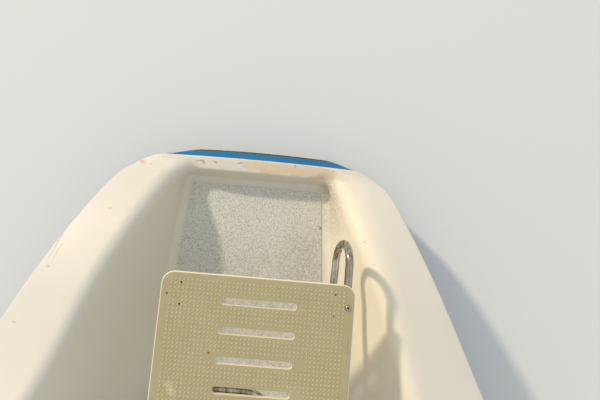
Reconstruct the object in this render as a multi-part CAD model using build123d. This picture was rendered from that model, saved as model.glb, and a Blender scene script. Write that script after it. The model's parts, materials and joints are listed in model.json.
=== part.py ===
from build123d import *
import math
import os

os.makedirs("parts", exist_ok=True)

# Stern section of one catamaran hull with its boarding well, seat and rudder.
# +X is port, +Y is aft, +Z is up. The origin is on the forward joint face,
# on the centreline at the waterline. S values run forward from the aft edge.

# Section and well
SECTION_LENGTH = 2000.0
FLOOR_HEIGHT = 160.0
MOULDING_THICKNESS = 12.0
BULKHEAD_THICKNESS = 20.0
BLOCK_DEPTH = 1200.0
BLOCK_TOP = 1100.0

# Hull outlines seen from above, at the deck edge and at the transom's foot:
# half-width and distance forward of the aft edge's ends, its crown, and the
# middle of the rounded corner. Forward of the corner both are the same.
DECK_EDGE = {"half": 318.0, "aft": 0.0, "crown": 2.0, "mid_half": 410.0, "mid_s": 34.0}
TRANSOM_FOOT = {"half": 218.0, "aft": -106.0, "crown": 8.0, "mid_half": 300.0, "mid_s": -82.0}
CORNER_END_S = 104.0
CORNER_END_HALF = 462.0
FLARE_END_S = 678.0
FLARE_END_HALF = 731.0
PARALLEL_HALF = 850.0

# Raked transom between these heights, upright above it
TRANSOM_TOP = 212.0
TRANSOM_FOOT_HEIGHT = -100.0

# Hull sections: distance forward, half-width and height of the deck edge,
# half-width at the waterline, keel height. The last lies past the joint face.
PAST_JOINT = 150.0
HULL_SECTIONS = [
    {"s": -250.0, "half": 330.0, "edge": 145.0, "water": 262.0, "keel": -60.0},
    {"s": 350.0, "half": 620.0, "edge": 386.0, "water": 462.0, "keel": -205.0},
    {"s": 950.0, "half": 885.0, "edge": 500.0, "water": 615.0, "keel": -335.0},
    {"s": 1550.0, "half": 870.0, "edge": 500.0, "water": 668.0, "keel": -405.0},
    {"s": SECTION_LENGTH + PAST_JOINT, "half": 870.0, "edge": 500.0, "water": 697.0, "keel": -445.0},
]
BILGE_TOP = -30.0
BILGE_MID_WIDTH = 0.88
BILGE_MID_DEPTH = 0.62
BOTTOM_SHARE = 0.52
DEADRISE = 12.0

# Coaming top in side view, from the aft edge forward: a straight has a length,
# a bend a radius and the upward heading in degrees that it ends with. The last
# straight runs out past the joint face.
COAMING_LEVEL_S = 1500.0
COAMING_RUNS = [
    {"length": 12.0, "radius": 0.0, "heading": 2.0},
    {"length": 0.0, "radius": 55.0, "heading": 54.0},
    {"length": 0.0, "radius": 300.0, "heading": 31.0},
    {"length": 0.0, "radius": 960.0, "heading": 9.0},
    {"length": 120.0, "radius": 0.0, "heading": 9.0},
    {"length": 0.0, "radius": 900.0, "heading": 44.0},
    {"length": 170.0, "radius": 0.0, "heading": 44.0},
    {"length": 0.0, "radius": 655.0, "heading": 2.0},
    {"length": SECTION_LENGTH - COAMING_LEVEL_S, "radius": 0.0, "heading": 2.0},
]
SILL_HEIGHT = 247.0
CAMBER_RADIUS = 2600.0
CAMBER_SWEEP = 50.0
WELL_RIM_RADIUS = 45.0
PASSAGE_RIM_RADIUS = 20.0
AFT_EDGE_RADIUS = 8.0
OVERRUN = 400.0
EDGE_MATCH = 0.5

# Well: outline at the floor and at a plane above it
WELL_RISE = 450.0
WELL_FLOOR_AFT_S = 56.0
WELL_FLOOR_AFT_HALF = 254.0
WELL_FLOOR_CORNER = 40.0
WELL_TOP_AFT_S = -10.0
WELL_TOP_AFT_HALF = 268.0
WELL_TOP_MID_S = 400.0
WELL_TOP_MID_HALF = 491.0
WELL_TOP_CORNER = 150.0
WELL_FORWARD_S = 860.0
WELL_FORWARD_LEAN = 30.0
WELL_FLOOR_FORWARD_HALF = 319.0
WELL_TOP_FORWARD_HALF = 656.0
WELL_FLOOR_RADIUS = 20.0

# Steps up to the deck
STEP_RISE = 260.0
FIRST_STEP_HEIGHT = 380.0
STEP_TREAD = 280.0
PASSAGE_HALF = 370.0
PASSAGE_LEAN = 0.30
PASSAGE_OVERLAP = 60.0

# Non-skid panels
PANEL_THICKNESS = 3.0
FLOOR_PANEL_AFT_S = 80.0
FLOOR_PANEL_AFT_HALF = 229.0
FLOOR_PANEL_FORWARD_S = 820.0
FLOOR_PANEL_FORWARD_HALF = 290.0
STEP_PANEL_MARGIN = 40.0
DECK_PANEL_MARGIN = 60.0

# Seat plate
SEAT_WIDTH = 503.0
SEAT_DEPTH = 427.0
SEAT_THICKNESS = 12.0
SEAT_CENTRE_X = 60.5
SEAT_AFT_S = 369.0
SEAT_TOP = 567.0
SEAT_CORNER_RADIUS = 33.0
SEAT_EDGE_RADIUS = 5.0
SLOT_COUNT = 5
SLOT_PITCH = 73.5
SLOT_LENGTH = 196.0
SLOT_WIDTH = 17.0
SLOT_CENTRE_X = 64.0
SLOT_LIP_RADIUS = 2.5
HOLE_INNER_X = 200.0
HOLE_INNER_NEAR = 28.0
HOLE_INNER_FAR = 83.0
HOLE_DIAMETER = 6.0
SCREW_X = 233.5
SCREW_INSET = 58.0

# Seat frame
TUBE_DIAMETER = 22.0
TAB_THICKNESS = 3.0
TAB_LENGTH = 44.0
TAB_WIDTH = 18.0
TAB_SINK = 4.0
LOOP_LOWER_X = 270.0
LOOP_LOWER_DROP = 115.0
LOOP_LEAN = 4.5
LOOP_LEAN_RADIUS = 600.0
LOOP_APEX_S = 261.0
RAIL_AFT_S = 396.0
BRACE_S = 660.0
BRACE_BEND_X = 37.0
BRACE_BEND_RADIUS = 100.0
FLANGE_DIAMETER = 56.0
FLANGE_THICKNESS = 5.0
PLUG_HEAD = 3.0
PLUG_DEPTH = 14.0
PLUG_DIAMETER = 17.0

# Screws
BUTTON_DIAMETER = 16.0
BUTTON_HEIGHT = 4.5
BUTTON_SOCKET = 5.0
BUTTON_SOCKET_DEPTH = 2.5
BUTTON_SHANK = 8.0
FLUSH_DIAMETER = 7.0
FLUSH_HEIGHT = 2.0
FLUSH_SHANK = 4.0
SCREW_REACH = 8.0

# Rudder
RUDDER_S = 620.0
STOCK_DIAMETER = 50.0
STOCK_TOP = 90.0
BUSH_OUTER = 72.0
BUSH_CLEARANCE = 0.1
BUSH_LENGTH = 70.0
BUSH_SHOW = 10.0
BORE_TOP = 110.0
BORE_CLEARANCE = 5.0
BLADE_TOP = -315.0
BLADE_DEPTH = 820.0
ROOT_CHORD = 420.0
TIP_CHORD = 300.0
ROOT_THICKNESS = 62.0
TIP_THICKNESS = 36.0
BALANCE = 0.22
FOIL_FULLEST = 0.30
TRAILING_THICKNESS = 4.0
STOCK_IN_BLADE = 420.0

# Joint bolts
BOLT_SPACING_X = 900.0
BOLT_SPACING_Z = 320.0
BOLT_DIAMETER = 13.0
BOLT_DEPTH = 60.0


def at(x, s, z):
    return Vector(x, SECTION_LENGTH - s, z)


def mirrored_face(port_edges):
    """Closes the port half of an outline, given from aft to forward, with its mirror."""
    starboard = [edge.mirror(Plane.YZ) for edge in port_edges]
    first = port_edges[0] @ 0
    last = port_edges[-1] @ 1
    edges = list(port_edges) + starboard
    if abs(first.X) > 0.001:
        edges.append(Line(Vector(-first.X, first.Y, first.Z), first))
    if abs(last.X) > 0.001:
        edges.append(Line(last, Vector(-last.X, last.Y, last.Z)))
    return Face(Wire(edges))


def outline(edge, z):
    """Plan of the hull at one height: aft edge, corners, flare, parallel sides."""
    heading = math.atan2(FLARE_END_HALF - CORNER_END_HALF, FLARE_END_S - CORNER_END_S)
    radius = (PARALLEL_HALF - FLARE_END_HALF) / (1.0 - math.cos(heading))
    mid_s = FLARE_END_S + radius * (math.sin(heading) - math.sin(heading / 2))
    mid_half = FLARE_END_HALF + radius * (math.cos(heading / 2) - math.cos(heading))
    parallel_s = FLARE_END_S + radius * math.sin(heading)
    aft = ThreePointArc(
        at(-edge["half"], edge["aft"], z),
        at(0, edge["aft"] - edge["crown"], z),
        at(edge["half"], edge["aft"], z),
    )
    port = [
        ThreePointArc(
            aft @ 1,
            at(edge["mid_half"], edge["mid_s"], z),
            at(CORNER_END_HALF, CORNER_END_S, z),
        ),
        Line(at(CORNER_END_HALF, CORNER_END_S, z), at(FLARE_END_HALF, FLARE_END_S, z)),
        ThreePointArc(
            at(FLARE_END_HALF, FLARE_END_S, z),
            at(mid_half, mid_s, z),
            at(PARALLEL_HALF, parallel_s, z),
        ),
        Line(at(PARALLEL_HALF, parallel_s, z), at(PARALLEL_HALF, SECTION_LENGTH, z)),
    ]
    starboard = [edge.mirror(Plane.YZ) for edge in port]
    front = Line(port[-1] @ 1, starboard[-1] @ 1)
    return Face(Wire([aft, *port, *starboard, front]))


def hull_section(row):
    slope = (row["half"] - row["water"]) / row["edge"]
    top_half = row["water"] + slope * BLOCK_TOP
    bilge_half = row["water"] + slope * BILGE_TOP
    s = row["s"]
    side = Line(at(top_half, s, BLOCK_TOP), at(bilge_half, s, BILGE_TOP))
    flat_half = bilge_half * BOTTOM_SHARE
    flat_height = row["keel"] + flat_half * math.tan(math.radians(DEADRISE))
    mid_height = BILGE_TOP - (BILGE_TOP - flat_height) * BILGE_MID_DEPTH
    bilge = ThreePointArc(
        at(bilge_half, s, BILGE_TOP),
        at(bilge_half * BILGE_MID_WIDTH, s, mid_height),
        at(flat_half, s, flat_height),
    )
    bottom = Line(bilge @ 1, at(0, s, row["keel"]))
    port = [side, bilge, bottom]
    starboard = [edge.mirror(Plane.YZ) for edge in port]
    top = Line(side @ 0, starboard[0] @ 0)
    return Face(Wire([*port, *starboard, top]))


def hull_block():
    """Hull below the deck edge, closed at the transom, with no well in it."""
    body = loft([hull_section(row) for row in HULL_SECTIONS])
    depth = BLOCK_TOP + BLOCK_DEPTH
    upright = extrude(outline(DECK_EDGE, -BLOCK_DEPTH), depth, dir=(0, 0, 1))
    foot = outline(TRANSOM_FOOT, TRANSOM_FOOT_HEIGHT)
    transom = loft([foot, outline(DECK_EDGE, TRANSOM_TOP)], ruled=True)
    return body & (upright + transom)


def coaming_edges(drop):
    """Side view of the coaming top as straights and tangent bends."""
    s = 0.0
    z = SILL_HEIGHT - drop
    heading = math.radians(COAMING_RUNS[0]["heading"])
    edges = [Line(at(0, -OVERRUN, z), at(0, s, z))]
    for run in COAMING_RUNS:
        start = at(0, s, z)
        if run["radius"] == 0.0:
            s += run["length"] * math.cos(heading)
            z += run["length"] * math.sin(heading)
            edges.append(Line(start, at(0, s, z)))
            continue
        end = math.radians(run["heading"])
        turn = math.copysign(run["radius"], end - heading)
        half = (heading + end) / 2
        mid_s = s + turn * (math.sin(half) - math.sin(heading))
        mid_z = z + turn * (math.cos(heading) - math.cos(half))
        s += turn * (math.sin(end) - math.sin(heading))
        z += turn * (math.cos(heading) - math.cos(end))
        edges.append(ThreePointArc(start, at(0, mid_s, mid_z), at(0, s, z)))
        heading = end
    return edges


def roof(drop):
    """Everything under the cambered coaming top, lowered by drop."""
    top = coaming_edges(drop)
    aft = top[0] @ 0
    ahead = top[-1] @ 1
    low_aft = Vector(0, aft.Y, -BLOCK_DEPTH)
    low_ahead = Vector(0, ahead.Y, -BLOCK_DEPTH)
    ring = [*top, Line(ahead, low_ahead), Line(low_ahead, low_aft), Line(low_aft, aft)]
    profile = Face(Wire(ring))
    spin = Axis((0, 0, -CAMBER_RADIUS), (0, 1, 0))
    swept = revolve(profile, spin, CAMBER_SWEEP)
    return swept.rotate(spin, -CAMBER_SWEEP / 2)


def well_face(aft_s, aft_half, mid, forward_s, forward_half, corner, z):
    """One level of the well: straight aft wall, rounded corners, flared sides."""
    port_aft = at(aft_half, aft_s, z)
    port_forward = at(forward_half, forward_s, z)
    if mid is None:
        port = Line(port_aft, port_forward)
    else:
        port = ThreePointArc(port_aft, at(*mid, z), port_forward)
    starboard = port.mirror(Plane.YZ)
    aft = Line(starboard @ 0, port @ 0)
    forward = Line(port @ 1, starboard @ 1)
    face = Face(Wire([aft, port, forward, starboard]))
    corners = face.vertices().sort_by(Axis.Y)[-2:]
    return fillet(corners, corner)


def well_pocket(wall):
    floor = well_face(
        WELL_FLOOR_AFT_S - wall,
        WELL_FLOOR_AFT_HALF + wall,
        None,
        WELL_FORWARD_S + wall,
        WELL_FLOOR_FORWARD_HALF + wall,
        WELL_FLOOR_CORNER + wall,
        FLOOR_HEIGHT - wall,
    )
    top = well_face(
        WELL_TOP_AFT_S - wall,
        WELL_TOP_AFT_HALF + wall,
        (WELL_TOP_MID_HALF + wall, WELL_TOP_MID_S),
        WELL_FORWARD_S + WELL_FORWARD_LEAN + wall,
        WELL_TOP_FORWARD_HALF + wall,
        WELL_TOP_CORNER + wall,
        FLOOR_HEIGHT + WELL_RISE,
    )
    pocket = loft([floor, top], ruled=True)
    return fillet(pocket.edges().group_by(Axis.Z)[0], WELL_FLOOR_RADIUS + wall)


def passage_pocket(wall):
    """Open way over the steps and the deck, widening upwards."""
    start = WELL_FORWARD_S - PASSAGE_OVERLAP
    end = SECTION_LENGTH + PASSAGE_OVERLAP
    floor = FIRST_STEP_HEIGHT - wall
    half_low = PASSAGE_HALF + wall
    half_top = half_low + PASSAGE_LEAN * (BLOCK_TOP - floor)
    centre = (start + end) / 2
    low = Plane(at(0, centre, floor)) * Rectangle(2 * half_low, end - start)
    high = Plane(at(0, centre, BLOCK_TOP)) * Rectangle(2 * half_top, end - start)
    wedge = loft([low, high], ruled=True)
    for step in (1, 2):
        front = WELL_FORWARD_S + step * STEP_TREAD + wall
        height = FIRST_STEP_HEIGHT + step * STEP_RISE - wall
        step_block = Box(
            2 * BLOCK_TOP,
            end - front + 1.0,
            height,
            align=(Align.CENTER, Align.MAX, Align.MIN),
        )
        wedge -= Pos(0, SECTION_LENGTH - front, 0) * step_block
    return wedge


def slab(near_s, far_s):
    """All of the hull's width and height between two distances forward."""
    box = Box(
        2 * BLOCK_DEPTH,
        far_s - near_s,
        2 * BLOCK_DEPTH,
        align=(Align.CENTER, Align.MAX, Align.CENTER),
    )
    return Pos(0, SECTION_LENGTH - near_s, 0) * box


block = hull_block()


def passage_rim(solid, wall):
    """Edges where the leaning passage walls meet the coaming top."""
    rim = []
    for edge in solid.edges():
        start, mid, end = edge @ 0, edge @ 0.5, edge @ 1
        height = mid.Z - FIRST_STEP_HEIGHT + wall
        half = PASSAGE_HALF + wall + PASSAGE_LEAN * height
        on_wall = height > 0 and abs(abs(mid.X) - half) < EDGE_MATCH
        slopes = abs(end.Y - start.Y) > EDGE_MATCH and abs(end.Z - start.Z) > EDGE_MATCH
        if on_wall and slopes:
            rim.append(edge)
    return rim


def well_rim(solid, wall):
    """The sill's inner edge; the rest of the well's rim runs on from it."""
    top = SILL_HEIGHT - wall
    share = (top - FLOOR_HEIGHT) / WELL_RISE
    rim_s = WELL_FLOOR_AFT_S + share * (WELL_TOP_AFT_S - WELL_FLOOR_AFT_S) - wall
    return [solid.edges().sort_by_distance(at(0, rim_s, top))[0]]


def hollowed(wall):
    """Hull block without its well and passage, a wall's thickness inwards."""
    solid = (block & roof(wall)) - (well_pocket(wall) + passage_pocket(wall))
    solid = fillet(passage_rim(solid, wall), PASSAGE_RIM_RADIUS - wall)
    return fillet(well_rim(solid, wall), WELL_RIM_RADIUS - wall)



def floor_panel(aft, forward, z):
    """A non-skid panel between two (half-width, distance forward) pairs."""
    port = [Line(at(aft[0], aft[1], z), at(forward[0], forward[1], z))]
    return extrude(mirrored_face(port), PANEL_THICKNESS, dir=(0, 0, 1))


def step_panel(front_s, depth, z, margin):
    half = PASSAGE_HALF - margin
    if z > FIRST_STEP_HEIGHT:
        half += PASSAGE_LEAN * (z - FIRST_STEP_HEIGHT)
    return floor_panel((half, front_s + margin), (half, front_s + depth - margin), z)


def rod(start, end, diameter):
    """A round bar between two points."""
    line = end - start
    circle = Plane(origin=start, z_dir=line) * Circle(diameter / 2)
    return extrude(circle, line.length, dir=line)


def bent_tube(edges):
    start = edges[0]
    section = Plane(origin=start @ 0, z_dir=start % 0) * Circle(TUBE_DIAMETER / 2)
    return sweep(section, path=Wire(edges))


def tab(x, s):
    """Welded pad between a seat tube and the underside of the plate."""
    pad = Box(
        TAB_WIDTH,
        TAB_LENGTH,
        TAB_THICKNESS + TAB_SINK,
        align=(Align.CENTER, Align.CENTER, Align.MAX),
    )
    return Pos(*at(x, s, SEAT_UNDER)) * pad


def upright_hole(x, s, diameter, top, depth):
    return Pos(*at(x, s, top)) * Cylinder(
        diameter / 2, depth, align=(Align.CENTER, Align.CENTER, Align.MAX)
    )


def wall_flange(x, z):
    """Round foot of a seat tube on the riser of the upper step."""
    plane = Plane(origin=at(x, RISER_S, z), z_dir=(0, 1, 0))
    disc = extrude(plane * Circle(FLANGE_DIAMETER / 2), FLANGE_THICKNESS)
    return disc - extrude(plane * Circle(TUBE_DIAMETER / 2), 2 * FLANGE_THICKNESS, both=True)


# Hull, deck moulding and bulkhead
bulkhead_s = SECTION_LENGTH - BULKHEAD_THICKNESS
outside = hollowed(0)
core = hollowed(MOULDING_THICKNESS)
aft_edge = outside.edges().sort_by_distance(at(0, -DECK_EDGE["crown"], SILL_HEIGHT))[0]
outside = fillet([aft_edge], AFT_EDGE_RADIUS)
hull = core & slab(-OVERRUN, bulkhead_s)
deck = (outside & slab(-OVERRUN, bulkhead_s)) - core
bulkhead = outside & slab(bulkhead_s, SECTION_LENGTH)
for side_x in (-0.5, 0.5):
    for side_z in (-0.5, 0.5):
        centre = Vector(side_x * BOLT_SPACING_X, 0, side_z * BOLT_SPACING_Z)
        hole = rod(centre - Vector(0, 1, 0), centre + Vector(0, BOLT_DEPTH, 0), BOLT_DIAMETER)
        hull -= hole
        bulkhead -= hole

# Rudder and its bearings
rudder_axis = at(0, RUDDER_S, 0)
bush_bore = STOCK_DIAMETER + 2 * BUSH_CLEARANCE
hull_bore = STOCK_DIAMETER + 2 * BORE_CLEARANCE


def upright(diameter, low, high):
    start = Vector(rudder_axis.X, rudder_axis.Y, low)
    return rod(start, Vector(rudder_axis.X, rudder_axis.Y, high), diameter)


keel_slice = block & slab(RUDDER_S - 1, RUDDER_S + 1)
keel_height = keel_slice.bounding_box().min.Z
lower_bush_low = keel_height - BUSH_SHOW
lower_bush_high = lower_bush_low + BUSH_LENGTH
upper_bush_low = BORE_TOP - BUSH_LENGTH
hull -= upright(BUSH_OUTER, keel_height - 200, lower_bush_high)
hull -= upright(hull_bore, lower_bush_low, upper_bush_low)
hull -= upright(BUSH_OUTER, upper_bush_low, BORE_TOP)
bush_lower = upright(BUSH_OUTER, lower_bush_low, lower_bush_high)
bush_lower -= upright(bush_bore, lower_bush_low - 1, lower_bush_high + 1)
bush_upper = upright(BUSH_OUTER, upper_bush_low, BORE_TOP)
bush_upper -= upright(bush_bore, upper_bush_low - 1, BORE_TOP + 1)
stock = upright(STOCK_DIAMETER, BLADE_TOP - STOCK_IN_BLADE, STOCK_TOP)


def foil(chord, thickness, z):
    nose = RUDDER_S + BALANCE * chord
    full_s = nose - FOIL_FULLEST * chord
    quarter_s = nose - 0.07 * chord
    rear_s = nose - 0.68 * chord
    tail = nose - chord
    half = thickness / 2
    end = TRAILING_THICKNESS / 2
    port = [
        ThreePointArc(at(0, nose, z), at(0.60 * half, quarter_s, z), at(half, full_s, z)),
        ThreePointArc(at(half, full_s, z), at(0.66 * half, rear_s, z), at(end, tail, z)),
    ]
    return mirrored_face(port)


blade = loft(
    [
        foil(ROOT_CHORD, ROOT_THICKNESS, BLADE_TOP),
        foil(TIP_CHORD, TIP_THICKNESS, BLADE_TOP - BLADE_DEPTH),
    ],
    ruled=True,
)
blade -= stock

# Non-skid panels
floor_skid = floor_panel(
    (FLOOR_PANEL_AFT_HALF, FLOOR_PANEL_AFT_S),
    (FLOOR_PANEL_FORWARD_HALF, FLOOR_PANEL_FORWARD_S),
    FLOOR_HEIGHT,
)
RISER_S = WELL_FORWARD_S + STEP_TREAD
DECK_S = RISER_S + STEP_TREAD
deck_height = FIRST_STEP_HEIGHT + 2 * STEP_RISE
lower_skid = step_panel(WELL_FORWARD_S, STEP_TREAD, FIRST_STEP_HEIGHT, STEP_PANEL_MARGIN)
upper_skid = step_panel(RISER_S, STEP_TREAD, FIRST_STEP_HEIGHT + STEP_RISE, STEP_PANEL_MARGIN)
deck_skid = step_panel(DECK_S, bulkhead_s - DECK_S, deck_height, DECK_PANEL_MARGIN)

# Seat plate
SEAT_UNDER = SEAT_TOP - SEAT_THICKNESS
SEAT_MID_S = SEAT_AFT_S + SEAT_DEPTH / 2
seat_plane = Plane(at(SEAT_CENTRE_X, SEAT_MID_S, SEAT_UNDER))
seat_outline = RectangleRounded(SEAT_WIDTH, SEAT_DEPTH, SEAT_CORNER_RADIUS)
seat = extrude(seat_plane * seat_outline, SEAT_THICKNESS, dir=(0, 0, 1))
seat = fillet(seat.edges().group_by(Axis.Z)[-1], SEAT_EDGE_RADIUS)
for index in range(SLOT_COUNT):
    slot_s = SEAT_MID_S + (index - (SLOT_COUNT - 1) / 2) * SLOT_PITCH
    slot_plane = Plane(at(SLOT_CENTRE_X, slot_s, SEAT_UNDER - 1))
    slot = SlotOverall(SLOT_LENGTH, SLOT_WIDTH)
    seat -= extrude(slot_plane * slot, 2 * SEAT_THICKNESS, dir=(0, 0, 1))
slots_half = (SLOT_COUNT - 1) / 2 * SLOT_PITCH + SLOT_WIDTH / 2
lips = seat.edges().filter_by_position(Axis.Z, SEAT_TOP - EDGE_MATCH, SEAT_TOP + EDGE_MATCH)
lips = lips.filter_by_position(
    Axis.X,
    SLOT_CENTRE_X - SLOT_LENGTH / 2 - EDGE_MATCH,
    SLOT_CENTRE_X + SLOT_LENGTH / 2 + EDGE_MATCH,
)
lips = lips.filter_by_position(
    Axis.Y,
    seat_plane.origin.Y - slots_half - EDGE_MATCH,
    seat_plane.origin.Y + slots_half + EDGE_MATCH,
)
seat = fillet(lips, SLOT_LIP_RADIUS)
for side in (-1, 1):
    for inset in (HOLE_INNER_NEAR, HOLE_INNER_FAR):
        for hole_s in (SEAT_AFT_S + inset, SEAT_AFT_S + SEAT_DEPTH - inset):
            hole_x = SEAT_CENTRE_X + side * HOLE_INNER_X
            seat -= upright_hole(hole_x, hole_s, HOLE_DIAMETER, SEAT_TOP + 1, SEAT_THICKNESS + 2)

# Seat screws, through the plate into the tabs and tubes
screw_depth = SEAT_THICKNESS + SCREW_REACH
port_x = SEAT_CENTRE_X + SCREW_X
stbd_x = SEAT_CENTRE_X - SCREW_X
screw_rows = {"aft": SEAT_AFT_S + SCREW_INSET, "fwd": SEAT_AFT_S + SEAT_DEPTH - SCREW_INSET}
screws = {}
for label, screw_s in screw_rows.items():
    head_top = SEAT_TOP + BUTTON_HEIGHT
    button = upright_hole(port_x, screw_s, BUTTON_DIAMETER, head_top, BUTTON_HEIGHT)
    button = chamfer(button.edges().group_by(Axis.Z)[-1], BUTTON_HEIGHT / 2)
    button += upright_hole(port_x, screw_s, BUTTON_SHANK, SEAT_TOP, screw_depth)
    socket = Plane(at(port_x, screw_s, head_top - BUTTON_SOCKET_DEPTH)) * RegularPolygon(
        BUTTON_SOCKET / 2, 6, major_radius=False
    )
    button -= extrude(socket, 2 * BUTTON_SOCKET_DEPTH, dir=(0, 0, 1))
    flush_head = Pos(*at(stbd_x, screw_s, SEAT_TOP)) * Cone(
        FLUSH_SHANK / 2,
        FLUSH_DIAMETER / 2,
        FLUSH_HEIGHT,
        align=(Align.CENTER, Align.CENTER, Align.MAX),
    )
    flush = flush_head + upright_hole(stbd_x, screw_s, FLUSH_SHANK, SEAT_TOP, screw_depth)
    screws[f"seat_screw_port_{label}"] = button
    screws[f"seat_screw_stbd_{label}"] = flush

# Seat frame
tube_z = SEAT_UNDER - TAB_THICKNESS - TUBE_DIAMETER / 2
lower_z = tube_z - LOOP_LOWER_DROP
loop_bend = math.hypot(port_x - LOOP_LOWER_X, LOOP_LOWER_DROP) / 2
loop_s = LOOP_APEX_S + loop_bend
lean = math.radians(LOOP_LEAN)
lean_s = loop_s + LOOP_LEAN_RADIUS * math.sin(lean)
lean_x = LOOP_LOWER_X - LOOP_LEAN_RADIUS * (1 - math.cos(lean))
lean_mid_s = loop_s + LOOP_LEAN_RADIUS * math.sin(lean / 2)
lean_mid_x = LOOP_LOWER_X - LOOP_LEAN_RADIUS * (1 - math.cos(lean / 2))
foot_s = RISER_S + TUBE_DIAMETER
loop_mid = Vector((port_x + LOOP_LOWER_X) / 2, 0, (tube_z + lower_z) / 2)
loop = bent_tube(
    [
        Line(at(port_x, RISER_S, tube_z), at(port_x, loop_s, tube_z)),
        ThreePointArc(
            at(port_x, loop_s, tube_z),
            at(loop_mid.X, LOOP_APEX_S, loop_mid.Z),
            at(LOOP_LOWER_X, loop_s, lower_z),
        ),
        ThreePointArc(
            at(LOOP_LOWER_X, loop_s, lower_z),
            at(lean_mid_x, lean_mid_s, lower_z),
            at(lean_x, lean_s, lower_z),
        ),
        Line(
            at(lean_x, lean_s, lower_z),
            at(lean_x - (foot_s - lean_s) * math.tan(lean), foot_s, lower_z),
        ),
    ]
)
loop &= slab(-OVERRUN, RISER_S)
foot_x = lean_x - (RISER_S - lean_s) * math.tan(lean)
loop_foot = wall_flange(foot_x, lower_z) - loop
rail = rod(at(stbd_x, RISER_S, tube_z), at(stbd_x, RAIL_AFT_S, tube_z), TUBE_DIAMETER)
plug_bore_s = RAIL_AFT_S + PLUG_DEPTH
brace_x = BRACE_BEND_X + BRACE_BEND_RADIUS
turn = BRACE_BEND_RADIUS * math.sqrt(0.5)
brace = bent_tube(
    [
        Line(at(stbd_x, BRACE_S, tube_z), at(BRACE_BEND_X, BRACE_S, tube_z)),
        ThreePointArc(
            at(BRACE_BEND_X, BRACE_S, tube_z),
            at(BRACE_BEND_X + turn, BRACE_S + BRACE_BEND_RADIUS - turn, tube_z),
            at(brace_x, BRACE_S + BRACE_BEND_RADIUS, tube_z),
        ),
        Line(at(brace_x, BRACE_S + BRACE_BEND_RADIUS, tube_z), at(brace_x, RISER_S, tube_z)),
    ]
)
brace -= rail
for screw_s in screw_rows.values():
    loop += tab(port_x, screw_s)
    rail += tab(stbd_x, screw_s)
rail -= rod(at(stbd_x, plug_bore_s, tube_z), at(stbd_x, RAIL_AFT_S - 1, tube_z), PLUG_DIAMETER)
plug = rod(at(stbd_x, plug_bore_s, tube_z), at(stbd_x, RAIL_AFT_S, tube_z), PLUG_DIAMETER)
plug += rod(
    at(stbd_x, RAIL_AFT_S, tube_z), at(stbd_x, RAIL_AFT_S - PLUG_HEAD, tube_z), TUBE_DIAMETER
)
for screw in screws.values():
    seat -= screw
    loop -= screw
    rail -= screw

parts = {
    "hull_shell": hull,
    "deck_moulding": deck,
    "joint_bulkhead": bulkhead,
    "nonskid_well_floor": floor_skid,
    "nonskid_lower_step": lower_skid,
    "nonskid_upper_step": upper_skid,
    "nonskid_deck": deck_skid,
    "seat_plate": seat,
    "seat_loop_port": loop,
    "seat_rail_stbd": rail,
    "seat_brace": brace,
    "seat_flange_loop_upper": wall_flange(port_x, tube_z),
    "seat_flange_loop_lower": loop_foot,
    "seat_flange_rail": wall_flange(stbd_x, tube_z),
    "seat_flange_brace": wall_flange(brace_x, tube_z),
    "seat_rail_plug": plug,
    "rudder_blade": blade,
    "rudder_stock": stock,
    "rudder_bush_lower": bush_lower,
    "rudder_bush_upper": bush_upper,
    **screws,
}
for name, solid in parts.items():
    export_step(solid, f"parts/{name}.step")
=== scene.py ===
import json
import math

import bmesh
import bpy
from mathutils import Matrix, Vector

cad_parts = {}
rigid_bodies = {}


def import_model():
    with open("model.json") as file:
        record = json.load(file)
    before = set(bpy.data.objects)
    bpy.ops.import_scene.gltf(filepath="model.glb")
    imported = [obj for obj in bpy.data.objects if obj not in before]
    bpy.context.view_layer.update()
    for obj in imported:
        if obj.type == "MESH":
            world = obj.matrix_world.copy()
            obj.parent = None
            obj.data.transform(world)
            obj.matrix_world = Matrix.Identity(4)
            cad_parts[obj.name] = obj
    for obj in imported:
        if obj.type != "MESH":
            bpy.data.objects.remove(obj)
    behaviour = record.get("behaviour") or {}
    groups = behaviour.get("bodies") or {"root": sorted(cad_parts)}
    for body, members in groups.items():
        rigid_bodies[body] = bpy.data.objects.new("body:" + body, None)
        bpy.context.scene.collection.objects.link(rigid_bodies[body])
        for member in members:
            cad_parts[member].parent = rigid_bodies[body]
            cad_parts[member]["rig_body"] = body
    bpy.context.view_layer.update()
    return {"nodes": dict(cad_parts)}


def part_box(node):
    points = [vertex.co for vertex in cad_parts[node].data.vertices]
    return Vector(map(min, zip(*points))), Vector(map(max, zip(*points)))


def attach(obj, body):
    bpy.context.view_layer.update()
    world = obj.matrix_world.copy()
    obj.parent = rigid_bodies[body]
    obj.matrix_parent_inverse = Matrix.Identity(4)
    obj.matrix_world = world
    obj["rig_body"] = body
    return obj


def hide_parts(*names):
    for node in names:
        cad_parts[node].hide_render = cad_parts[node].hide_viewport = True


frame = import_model()
cad_nodes = frame["nodes"]

# Studio: the camera looks down into the boarding well from just above the
# seat, a pale floor lies at the waterline, and one warm disc lamp and a pale
# sky light the section softly from its starboard quarter.
WELL_CAMERA = Matrix((
    (0.99586, -0.08845, -0.02116, 0.122),
    (0.08558, 0.99013, -0.11095, 1.713),
    (0.03076, 0.10868, 0.99360, 1.724),
    (0.0, 0.0, 0.0, 1.0),
))
LENS_MM = 26.4
SENSOR_MM = 36.0
LAMP_BEARING = 38.0
LAMP_ELEVATION = 31.0
LAMP_AIM = Vector((0.05, 1.5, 0.4))
LAMP_DISTANCE = 40.0
LAMP_SIZE = 2.8
LAMP_WATTS = 10600.0
LAMP_COLOUR = (1.0, 0.86, 0.68)
SKY_COLOUR = (0.93, 0.97, 1.0, 1.0)
SKY_STRENGTH = 0.74
FLOOR_SIZE = 120.0
FLOOR_GREY = (0.70, 0.71, 0.70, 1.0)
FLOOR_ROUGHNESS = 0.8

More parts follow.
